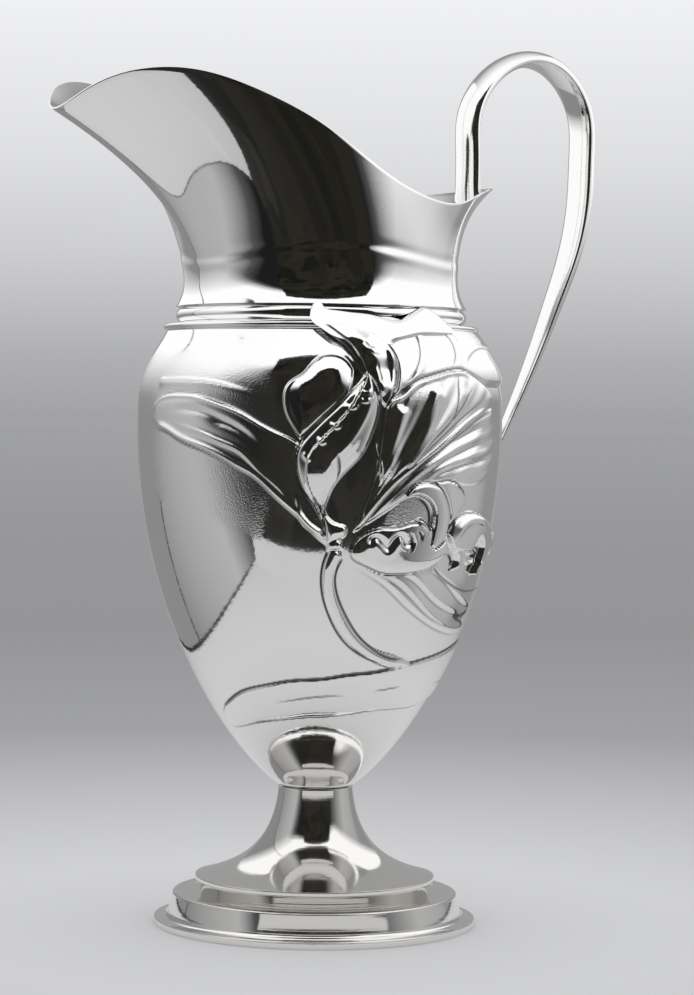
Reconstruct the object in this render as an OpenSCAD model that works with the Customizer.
// A footed silver ewer: a spun body on a trumpet foot, a neck drawn out into a tall spout,
// and a hollow loop handle made of two halves. Every piece is soldered to the next.
// Millimetres, +Z up, origin on the table under the axis, spout towards -X, handle towards +X.

/* [Metal] */
// Thickness of the sheet
wall = 0.8; // [0.6:0.1:1.2]
// Room for solder between a piece and the one it slips into
solder_gap = 0.15; // [0.1:0.05:0.3]

/* [Foot ring] */
// Height of the foot ring, up to the plinth's seat
ring_h = 4.5; // [3.5:0.1:7]
// Height of the foot ring's upright outer edge
ring_edge_h = 2.4; // [1.5:0.1:3]
// How far the foot ring stands out past the plinth
ring_flange = 5.1; // [3:0.1:8]
// How far the foot ring reaches in under the plinth
ring_inset = 4; // [2:0.1:7]

/* [Plinth] */
// Radius of the plinth at its base
plinth_r = 54.6; // [50:0.1:64]
// Height of the plinth's wall
plinth_h = 7.2; // [5:0.1:11]
// How far the plinth's wall leans in
plinth_lean = 1.6; // [0.5:0.1:3]
// Radius of the round edge at the top of the plinth's wall
plinth_edge_r = 0.8; // [0.4:0.1:1.5]
// Height of the cove from the plinth's edge up to the skirt
cove_h = 4.5; // [3:0.1:8]

/* [Trumpet foot] */
// Radius of the trumpet's skirt
skirt_r = 44.5; // [38:0.1:48]
// Height of the skirt's upright edge
skirt_h = 1.7; // [1.2:0.1:3]
// How far the skirt stands out past the plinth's cove
skirt_overhang = 3.1; // [2:0.1:5]
// Height of the trumpet above its skirt
trumpet_h = 33.1; // [24:0.1:45]
// Radius of the stem where the body stands on it
stem_r = 13.9; // [13.2:0.1:20]

/* [Body] */
// Largest radius of the body
body_r = 67.7; // [60:0.1:80]
// Height of the body from the stem up to its widest place
body_low_h = 135; // [110:0.5:160]
// Height of the shoulder from the widest place up to the neck's seat
shoulder_h = 34; // [26:0.5:45]
// Radius of the body where it stands on the stem
body_foot_r = 12.4; // [11.9:0.1:13]
// Radius of the boss that locates the body in the stem
boss_r = 11; // [8:0.1:11.6]
// Depth of that boss
boss_h = 4; // [2.5:0.1:7]

/* [Flower] */
// Width of the twisted petal at the flower's heart
heart_w = 13.2; // [9:0.1:16]
// How far that petal stands out from the body
heart_h = 4.2; // [2:0.1:6]
// Width of the widest open petal
petal_w = 21; // [15:0.1:25]
// How far the open petals stand out
petal_h = 2.4; // [1.2:0.1:4]
// Width of the curled tips of the petals
curl_w = 4.8; // [3.5:0.1:6]
// How far the curled tips stand out
curl_h = 3.2; // [1.5:0.1:5]
// Width of the leaves
leaf_w = 17; // [11:0.1:21]
// How far the leaves stand out
leaf_h = 1.5; // [1:0.1:3]
// Width of the stalk
stalk_w = 5; // [3.5:0.1:7]
// How far the stalk stands out
stalk_h = 1.7; // [1:0.1:3]

/* [Shoulder trim] */
// Height of the half-round wire on the shoulder
wire_h = 2.1; // [1.4:0.1:3.5]
// How far that wire stands out past the edge of its seat
wire_overhang = 3.3; // [2:0.1:5]
// Width of the seat that the wire shares with the body's shoulder
wire_seat_w = 2; // [1.2:0.1:3]
// Height of the collar round the foot of the neck
collar_h = 8.6; // [6:0.1:13]
// Thickness of the collar at its groove
collar_w = 2.2; // [1.4:0.1:3.5]
// How far the collar's band swells past its groove
collar_swell = 0.9; // [0.4:0.1:1.6]

/* [Neck and spout] */
// Radius of the neck
neck_r = 50.6; // [45:0.1:56]
// How far the neck's skirt drops into the body's mouth
neck_skirt = 4; // [2.5:0.1:8]
// Height of the rim's highest place above the collar
rim_crest = 79.5; // [60:0.1:95]
// How far the spout's tip reaches out past the neck
spout_throw = 60.6; // [45:0.1:75]
// How far the rim dips at the spout's very tip
tip_dip = 7.5; // [3:0.1:10]
// How far the rim flares past the neck at the handle
back_flare = 18.9; // [14:0.1:26]
// How far the rim flares past the neck at its sides
side_flare = 1.2; // [0.5:0.1:6]

/* [Handle] */
// Width of the handle
grip_w = 14.6; // [10:0.1:19]
// Height of the domed outer half
outer_dome = 4; // [2.5:0.1:6]
// Height of the domed inner half
inner_dome = 2.2; // [1.6:0.1:4]
// Thickness of the handle's sheet
grip_wall = 0.9; // [0.6:0.1:1.2]
// How far the loop stands in from the edge of the rim
grip_inset = 3.5; // [3:0.1:5]
// Width of the loop, from its inner to its outer strand
loop_span = 53.3; // [44:0.1:65]
// Height of the loop above the rim
loop_rise = 51.5; // [40:0.1:65]
// How far below the body's widest place the handle ends
tail_drop = 29; // [15:0.5:45]

/* [Hidden] */

// Colours of the metal: bright where it is polished, a little darker in the foot's bands
polished = [0.80, 0.80, 0.78];
banded = [0.72, 0.71, 0.68];

// Numbers of steps on the curves
round_steps = 8;
curve_steps = 28;
rim_steps = 72;
neck_steps = 14;
grip_steps = 3;
blade_steps = 2;
dome_steps = 8;
solve_steps = 8;
halving_steps = 30;
$fn = 96;

// Heights of the seats, from the table up
plinth_z = ring_h;
cove_z = plinth_z + plinth_h;
skirt_z = cove_z + cove_h;
trumpet_z = skirt_z + skirt_h;
stem_z = trumpet_z + trumpet_h;
belly_z = stem_z + body_low_h;
seat_z = belly_z + shoulder_h;
neck_z = seat_z + collar_h;
body_h = seat_z - stem_z;

// Radii that follow from the neck, outwards
mouth_r = neck_r + solder_gap;
collar_r = mouth_r + collar_w;
wire_bore_r = collar_r + solder_gap;
seat_r = wire_bore_r + wire_seat_w;

// Bends of the curves, all without a unit
trumpet_bend_share = 2;
trumpet_power_share = 1.4;
body_low_shares = [2.07, 0.8];
shoulder_shares = [2.7, 0.9];
round_plan_share = 2;
rim_plan_share = 1.85;
spout_power_share = 2.15;
back_power_share = 3.7;
side_power_share = 1.5;
tip_power_share = 100;
nudge_share = 0.001;

// Height of the rim as a share of its crest, from the handle round to the spout's tip, before it dips there
rim_height_shares = [0.59, 0.58, 0.56, 0.51, 0.47, 0.49, 0.55, 0.65, 0.77, 0.88, 0.98, 0.99, 0.93];

// The loop's path as shares of its span and rise: across, up, and width
loop_shares = [[0, 0, 1], [0, 0.3, 1], [0.01, 0.57, 1], [0.1, 0.76, 1], [0.27, 0.92, 1], [0.5, 1, 1],
    [0.71, 0.96, 1], [0.88, 0.82, 1], [0.98, 0.63, 1], [1, 0.3, 1], [0.99, 0.03, 1]];
// The grip's path from the loop down to the body: across, down, and width
grip_shares = [[0.92, 0.16, 0.95], [0.77, 0.34, 0.8], [0.6, 0.52, 0.62], [0.42, 0.69, 0.46],
    [0.26, 0.83, 0.34], [0.09, 0.97, 0.24]];

// The flower's blades, each along its middle: the angle from the handle, the height as a share of the
// body's, and the width as a share of what its kind measures
leaf_shares = [[-182, 0.82, 0.3], [-167, 0.81, 0.9], [-156, 0.79, 0.95], [-147, 0.76, 1],
    [-139, 0.73, 0.95], [-132, 0.68, 0.85], [-125, 0.62, 0.5], [-121, 0.58, 0.2]];
low_leaf_shares = [[-175, 0.18, 0.35], [-150, 0.2, 0.85], [-125, 0.22, 0.9], [-105, 0.23, 1],
    [-85, 0.24, 1], [-65, 0.26, 0.95], [-48, 0.29, 0.7], [-37, 0.32, 0.35]];
stalk_shares = [[-116, 0.53, 1], [-118, 0.5, 1], [-118, 0.45, 1], [-115, 0.4, 1], [-110, 0.35, 1],
    [-102, 0.32, 0.9], [-88, 0.3, 0.5]];
heart_shares = [[-109, 0.9, 0.15], [-110, 0.86, 0.55], [-112, 0.82, 0.95], [-117, 0.78, 1],
    [-121, 0.75, 1], [-123, 0.71, 0.9], [-124, 0.67, 0.6], [-122, 0.63, 0.3], [-121, 0.6, 0.1]];
petal_shares = [
    [[-127, 0.78, 0.15], [-126, 0.83, 0.6], [-123, 0.87, 0.8], [-119, 0.91, 0.7], [-117, 0.93, 0.3]],
    [[-109, 0.61, 0.15], [-104, 0.7, 0.55], [-96, 0.79, 1], [-88, 0.84, 1], [-80, 0.87, 0.6]],
    [[-101, 0.62, 0.1], [-92, 0.68, 0.3], [-81, 0.73, 0.5], [-67, 0.78, 0.55]],
    [[-101, 0.93, 0.3], [-93, 0.94, 0.55], [-82, 0.94, 0.6], [-69, 0.94, 0.6], [-55, 0.94, 0.5],
        [-42, 0.92, 0.25]],
    [[-110, 0.54, 0.1], [-104, 0.54, 0.45], [-95, 0.54, 0.7], [-86, 0.54, 0.5], [-81, 0.54, 0.15]]];
curl_shares = [
    [[-96, 0.65, 0.5], [-93, 0.67, 1], [-88, 0.67, 1], [-83, 0.65, 1], [-80, 0.61, 1], [-79, 0.57, 0.5]],
    [[-78, 0.67, 0.5], [-74, 0.67, 1], [-70, 0.65, 1], [-71, 0.62, 0.5]],
    [[-75, 0.56, 0.5], [-73, 0.59, 1], [-65, 0.6, 1], [-54, 0.59, 1], [-44, 0.57, 0.5]],
    [[-75, 0.51, 0.5], [-73, 0.53, 1], [-68, 0.54, 1], [-63, 0.53, 1], [-62, 0.51, 0.5]]];
// Places across a blade, and how much of its height its edges keep
narrow_shares = [-1, 0, 1];
wide_shares = [-1, -0.5, 0, 0.5, 1];
edge_share = 0.4;
// How far from a blade's end the hollow behind it starts, counted in places of its list
hollow_start_share = 0.3;
// The far side's flower is drawn in, so that the two leaf tips don't meet under the spout
far_turn_share = 0.75;

// Offsets a profile to its left by a distance, from the direction between each point's neighbours
function inset(points, distance) = [for (i = [0 : len(points) - 1])
    let (last = len(points) - 1, along = points[min(i + 1, last)] - points[max(i - 1, 0)])
    points[i] + distance * [-along[1], along[0]] / norm(along)];
function reversed(list) = [for (i = [len(list) - 1 : -1 : 0]) list[i]];

// Value of a smooth curve through a list at place x, counted in steps of the list
function mirrored(list, i) = list[i < 0 ? -i : i >= len(list) ? 2 * (len(list) - 1) - i : i];
function clamped(list, i) = list[max(0, min(len(list) - 1, i))];
function through(a, b, c, d, f) = b + f / 2
    * (c - a + f * (2 * a - 5 * b + 4 * c - d + f * (3 * (b - c) + d - a)));
function smooth_share(list, x) = let (i = min(floor(x), len(list) - 2))
    through(mirrored(list, i - 1), list[i], list[i + 1], mirrored(list, i + 2), x - i);
function place_at(list, x) = let (i = min(floor(x), len(list) - 2))
    through(clamped(list, i - 1), list[i], list[i + 1], clamped(list, i + 2), x - i);

// Body: radius at a height, from the stem to the widest place and on to the neck's seat
function swell(k, shares) = pow(max(0, 1 - pow(k, shares[0])), shares[1]);
function body_radius(z) = z < belly_z
    ? body_foot_r + (body_r - body_foot_r) * swell(min(1, (belly_z - z) / body_low_h), body_low_shares)
    : seat_r + (body_r - seat_r) * swell(min(1, (z - belly_z) / shoulder_h), shoulder_shares);

// A ring of a blade at place x of its list: over the top from one edge to the other, and back under the skin
function blade_ring(list, x, turn, width, height, hollow, across) = let (
    here = place_at(list, x),
    step = place_at(list, min(x + nudge_share, len(list) - 1)) - place_at(list, max(x - nudge_share, 0)),
    z = stem_z + here[1] * body_h,
    turn_length = body_radius(z) * PI / 180,
    run = [turn_length * step[0], body_h * step[1]],
    half_w = max(solder_gap, here[2] * width / 2 - hollow),
    aside = half_w * [-run[1], run[0]] / norm(run),
    place = function (s, lift) let (
        a = turn * (here[0] + s * aside[0] / turn_length),
        up = z + s * aside[1],
        r = body_radius(up) + lift)
        [r * cos(a), r * sin(a), up])
    concat([for (s = across) place(s, (height - hollow) * (1 - (1 - edge_share) * s * s))],
        [for (s = reversed(across)) place(s, -wall / 2 - 2 * hollow)]);

// Trumpet: radius at a share of its height, and the share at a radius
function trumpet_radius(s) = stem_r
    + (skirt_r - stem_r) * pow((1 - s) / (1 + trumpet_bend_share * s), trumpet_power_share);
function trumpet_share(r) = let (q = pow((r - stem_r) / (skirt_r - stem_r), 1 / trumpet_power_share))
    (1 - q) / (1 + trumpet_bend_share * q);

// Neck: the plan at share t of the way up is a rounded oval, longer towards the spout and the handle.
// Its radius at angle u from the handle, and the point there
function rim_rise(u) = rim_crest
    * smooth_share(rim_height_shares, abs(u) * (len(rim_height_shares) - 1) / 180)
    - tip_dip * pow(max(0, -cos(u)), tip_power_share);
function neck_radius(u, t) = let (
    throw = cos(u) < 0 ? spout_throw * pow(t, spout_power_share) : back_flare * pow(t, back_power_share),
    side_r = neck_r + side_flare * pow(t, side_power_share),
    bend = round_plan_share + (rim_plan_share - round_plan_share) * t)
    pow(pow(abs(cos(u)) / (neck_r + throw), bend) + pow(abs(sin(u)) / side_r, bend), -1 / bend);
function neck_point(u, t) = let (r = neck_radius(u, t))
    [r * cos(u), r * sin(u), neck_z + rim_rise(u) * t];
function neck_inside(u, t) = let (
    across = neck_point(u + nudge_share, t) - neck_point(u - nudge_share, t),
    up = neck_point(u, t + nudge_share) - neck_point(u, max(0, t - nudge_share)),
    out = cross(across, up))
    neck_point(u, t) - wall * out / norm(out);

// Share of the way up at which the neck reaches radius r, found by halving
function flare_share(u, r, low, high, steps) = let (t = (low + high) / 2)
    steps == 0 ? t
    : neck_radius(u, t) < r ? flare_share(u, r, t, high, steps - 1) : flare_share(u, r, low, t, steps - 1);

// Height of the upper side of the rim's flare under a point at the handle
function lip_top(x, y) = let (
    u = atan2(y, x),
    t = flare_share(u, norm([x, y]), 0, 1, halving_steps),
    spread = neck_radius(u, t + nudge_share) - neck_radius(u, t - nudge_share),
    slope = spread / (2 * nudge_share * rim_rise(u)))
    neck_z + rim_rise(u) * t + wall * sqrt(1 + slope * slope) / slope + solder_gap;

// Handle: the path's points in the plane of the spout, each [x, z, width share]
root_x = neck_r + back_flare - grip_inset;
root_z = neck_z + rim_rise(0);
reach_x = root_x + loop_span;
tail_z = belly_z - tail_drop;
tail_x = body_radius(tail_z);
path_points = concat(
    [for (s = loop_shares) [root_x + s[0] * loop_span, root_z + s[1] * loop_rise, s[2]]],
    [for (s = grip_shares) [tail_x + s[0] * (reach_x - tail_x), root_z - s[1] * (root_z - tail_z), s[2]]]);
path_count = (len(path_points) - 1) * grip_steps;
function path_at(k) = place_at(path_points, k / grip_steps);
function path_along(k) = let (d = path_at(min(k + 1, path_count)) - path_at(max(k - 1, 0)))
    [d[0], d[1]] / norm([d[0], d[1]]);

// Moves a point along a direction until it stands just off the body
function onto_body(p, along, steps) = steps == 0 ? p
    : let (off = norm([p[0], p[1]]) - body_radius(p[2]) - solder_gap)
    onto_body(p + off * [along[0], 0, along[1]], along, steps - 1);

// A ring of the handle at path step k: side is 1 for the outer half and -1 for the inner half
function grip_point(k, side, half_w, dome, angle) = let (
    p = path_at(k), along = path_along(k), share = p[2],
    lift = side * (solder_gap / 2 + share * dome * sin(angle)),
    q = [p[0] - along[1] * lift, -side * share * half_w * cos(angle), p[1] + along[0] * lift])
    k == 0 ? [q[0], q[1], lip_top(q[0], q[1])]
    : k == path_count ? onto_body(q, along, solve_steps) : q;
function grip_ring(k, side, dome) = concat(
    [for (j = [0 : dome_steps]) grip_point(k, side, grip_w / 2, dome, 180 * j / dome_steps)],
    [for (j = [dome_steps : -1 : 0])
        grip_point(k, side, grip_w / 2 - grip_wall, dome - grip_wall, 180 * j / dome_steps)]);

// A skin through rings of points, closed into a loop or capped at its two ends
module skin(rings, loop) {
    n = len(rings);
    m = len(rings[0]);
    half = m / 2 - 1;
    end = (n - 1) * m;
    sides = [for (i = [0 : loop ? n - 1 : n - 2]) for (j = [0 : m - 1])
        let (here = i * m, next = (i + 1) % n * m, k = (j + 1) % m,
            a = here + j, b = next + j, c = next + k, d = here + k)
        each [[a, d, c], [a, c, b]]];
    caps = loop ? [] : [for (j = [0 : half - 1])
        let (o = j, p = j + 1, q = m - 2 - j, r = m - 1 - j)
        each [[o, r, q], [o, q, p], [end + o, end + p, end + q], [end + o, end + q, end + r]]];
    polyhedron([for (ring = rings) each ring], concat(sides, caps));
}

// The ring that the ewer stands on, with a cove up to the plinth's seat
module foot_ring() {
    inner_r = plinth_r - ring_inset;
    cove_start_h = ring_h - ring_edge_h;
    cove = [for (i = [0 : round_steps]) let (a = 90 * i / round_steps)
        [plinth_r + ring_flange * (1 - sin(a)), ring_edge_h + cove_start_h * (1 - cos(a))]];
    color(banded) rotate_extrude()
        polygon(concat([[inner_r, 0], [plinth_r + ring_flange, 0]], cove, [[inner_r, ring_h]]));
}

// The stepped band: a leaning wall with a round edge, and a cove up under the skirt
module plinth() {
    edge_x = plinth_r - plinth_lean - plinth_edge_r;
    edge_z = cove_z - plinth_edge_r;
    neck_in_r = skirt_r - skirt_overhang;
    edge = [for (i = [0 : round_steps]) let (a = 90 * i / round_steps)
        [edge_x + plinth_edge_r * cos(a), edge_z + plinth_edge_r * sin(a)]];
    cove = [for (i = [1 : round_steps]) let (a = 90 * i / round_steps)
        [neck_in_r + (edge_x - neck_in_r) * (1 - sin(a)), cove_z + cove_h * (1 - cos(a))]];
    outside = concat([[plinth_r, plinth_z]], edge, cove);
    foot = [plinth_r - wall, plinth_z];
    under = [edge_x + plinth_edge_r - wall, cove_z - wall];
    inside = concat([[neck_in_r - wall, skirt_z]], reversed(inset(cove, wall)), [under, foot]);
    color(banded) rotate_extrude() polygon(concat(outside, inside));
}

// The spun stem, flaring down to a skirt whose thick edge rests on the plinth
module trumpet_foot() {
    lip_r = skirt_r - skirt_overhang - 2 * wall;
    first = trumpet_share(lip_r);
    bore_r = boss_r + solder_gap;
    bore_z = stem_z - boss_h - solder_gap;
    function curve(from) = [for (i = [0 : curve_steps]) let (s = from + (1 - from) * i / curve_steps)
        [trumpet_radius(s), trumpet_z + trumpet_h * s]];
    hollow = [for (p = reversed(inset(curve(first), wall))) if (p[1] < bore_z) p];
    color(polished) rotate_extrude()
        polygon(concat([[skirt_r, skirt_z]], curve(0), [[bore_r, stem_z], [bore_r, bore_z]], hollow,
            [[lip_r, skirt_z]]));
}

// The spun body, with a boss in the stem and a flat seat turned in round its mouth
module body() {
    outside = concat(
        [for (i = [0 : curve_steps]) let (z = stem_z + body_low_h * (1 - cos(90 * i / curve_steps)))
            [body_radius(z), z]],
        [for (i = [1 : curve_steps]) let (z = belly_z + shoulder_h * sin(90 * i / curve_steps))
            [body_radius(z), z]]);
    inside = [for (p = reversed(inset(outside, wall))) if (p[1] > stem_z + wall && p[1] < seat_z - wall) p];
    color(polished) difference() {
        union() {
            rotate_extrude()
                polygon(concat([[0, stem_z - boss_h], [boss_r, stem_z - boss_h], [boss_r, stem_z]], outside,
                    [[mouth_r, seat_z], [mouth_r, seat_z - wall]], inside, [[0, stem_z + wall]]));
            flowers(0);
        }
        flowers(wall);
    }
}

// A leaf, petal or stalk that is pushed out of the body from inside, or the hollow behind it
module blade(list, turn, width, height, hollow, across) {
    count = (len(list) - 1) * blade_steps;
    start = hollow > 0 ? hollow_start_share : 0;
    end = len(list) - 1 - start;
    skin([for (k = [0 : count])
        blade_ring(list, start + (end - start) * k / count, turn, width, height, hollow, across)], false);
}

// The flower on one side of the body, its angles drawn in by the share turn
module flower(turn, hollow) {
    blade(leaf_shares, turn, leaf_w, leaf_h, hollow, wide_shares);
    blade(low_leaf_shares, turn, leaf_w, leaf_h, hollow, wide_shares);
    blade(stalk_shares, turn, stalk_w, stalk_h, hollow, narrow_shares);
    blade(heart_shares, turn, heart_w, heart_h, hollow, wide_shares);
    for (list = petal_shares) blade(list, turn, petal_w, petal_h, hollow, wide_shares);
    for (list = curl_shares) blade(list, turn, curl_w, curl_h, hollow, narrow_shares);
}

// The flowers on both sides, or the hollows behind them where the sheet's thickness is given
module flowers(hollow) {
    flower(1, hollow);
    mirror([0, 1, 0]) flower(far_turn_share, hollow);
}

// The half-round wire on the shoulder
module shoulder_wire() {
    bead_r = wire_h / 2;
    bead_x = seat_r + wire_overhang - bead_r;
    bead = [for (i = [0 : round_steps]) let (a = 180 * i / round_steps - 90)
        [bead_x + bead_r * cos(a), seat_z + bead_r * (1 + sin(a))]];
    color(polished) rotate_extrude()
        polygon(concat([[wire_bore_r, seat_z]], bead, [[wire_bore_r, seat_z + wire_h]]));
}

// The collar: a groove beside the wire, then a swelling band up to the neck
module neck_collar() {
    band_z = seat_z + wire_h;
    band_h = neck_z - band_z;
    band = [for (i = [0 : round_steps]) let (s = i / round_steps)
        [collar_r - collar_swell + 2 * collar_swell * sin(180 * s), band_z + band_h * s]];
    color(polished) rotate_extrude()
        polygon(concat([[mouth_r, seat_z], [collar_r, seat_z], [collar_r, band_z]], band,
            [[mouth_r, neck_z]]));
}

// The neck, drawn out of a round skirt into the flared rim and the long spout
module neck_and_spout() {
    skirt_low_z = seat_z - neck_skirt;
    function ring(u) = concat(
        [[neck_r * cos(u), neck_r * sin(u), skirt_low_z]],
        [for (j = [0 : neck_steps]) neck_point(u, j / neck_steps)],
        [for (j = [neck_steps : -1 : 0]) neck_inside(u, j / neck_steps)],
        [[(neck_r - wall) * cos(u), (neck_r - wall) * sin(u), skirt_low_z]]);
    color(polished) skin([for (i = [0 : rim_steps - 1]) ring(360 * i / rim_steps - 180)], true);
}

// The handle's domed outer half
module handle_outer_half() {
    color(polished) skin([for (k = [0 : path_count]) grip_ring(k, 1, outer_dome)], false);
}

// The handle's shallower inner half
module handle_inner_half() {
    color(polished) skin([for (k = [0 : path_count]) grip_ring(k, -1, inner_dome)], false);
}

foot_ring();
plinth();
trumpet_foot();
body();
shoulder_wire();
neck_collar();
neck_and_spout();
handle_outer_half();
handle_inner_half();
